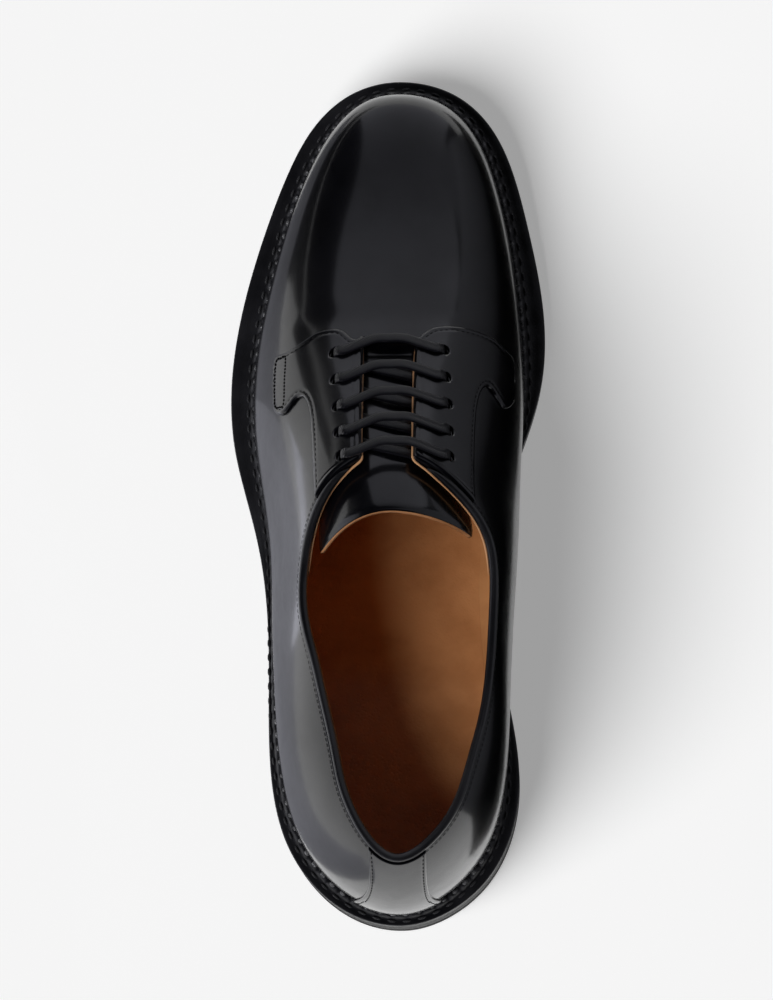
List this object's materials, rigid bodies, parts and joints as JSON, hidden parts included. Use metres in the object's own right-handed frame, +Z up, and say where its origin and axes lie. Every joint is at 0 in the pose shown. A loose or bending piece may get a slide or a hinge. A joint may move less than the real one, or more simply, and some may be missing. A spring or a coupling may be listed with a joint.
{
  "type": "derby shoe",
  "caption": "Left plain-toe derby shoe in polished black leather with a storm welt, low heel, straight lacing and a tan lined open collar.",
  "frame": {"origin": "on the floor, under the middle of the shoe's bounding box", "axes": "+Z up, toe towards -Y, heel towards +Y, outer side of the foot towards +X"},
  "size_m": [0.1114, 0.3, 0.1077],
  "materials": {
    "upper": "smooth black leather with a high wax polish",
    "facing_outer": "smooth black leather, edges folded and stitched",
    "facing_inner": "smooth black leather, edges folded and stitched",
    "backstay": "smooth black leather strip",
    "collar_binding": "black rolled leather binding",
    "tongue": "smooth black leather with a tan raw edge",
    "lace": "waxed black cotton",
    "insole": "natural tan vegetable leather, semi-matt",
    "welt": "black inked storm welt with waxed stitches",
    "outsole": "black with a satin dressed edge",
    "heel_stack": "black stacked lifts with a satin dressed edge",
    "heel_top_piece": "matt black rubber"
  },
  "bodies": {
    "root": {"upper": "upper", "facing_outer": "facing_outer", "facing_inner": "facing_inner", "backstay": "backstay", "collar_binding": "collar_binding", "tongue": "tongue", "lace": "lace", "insole": "insole", "welt": "welt", "outsole": "outsole", "heel_stack": "heel_stack", "heel_top_piece": "heel_top_piece"}
  },
  "joints": []
}
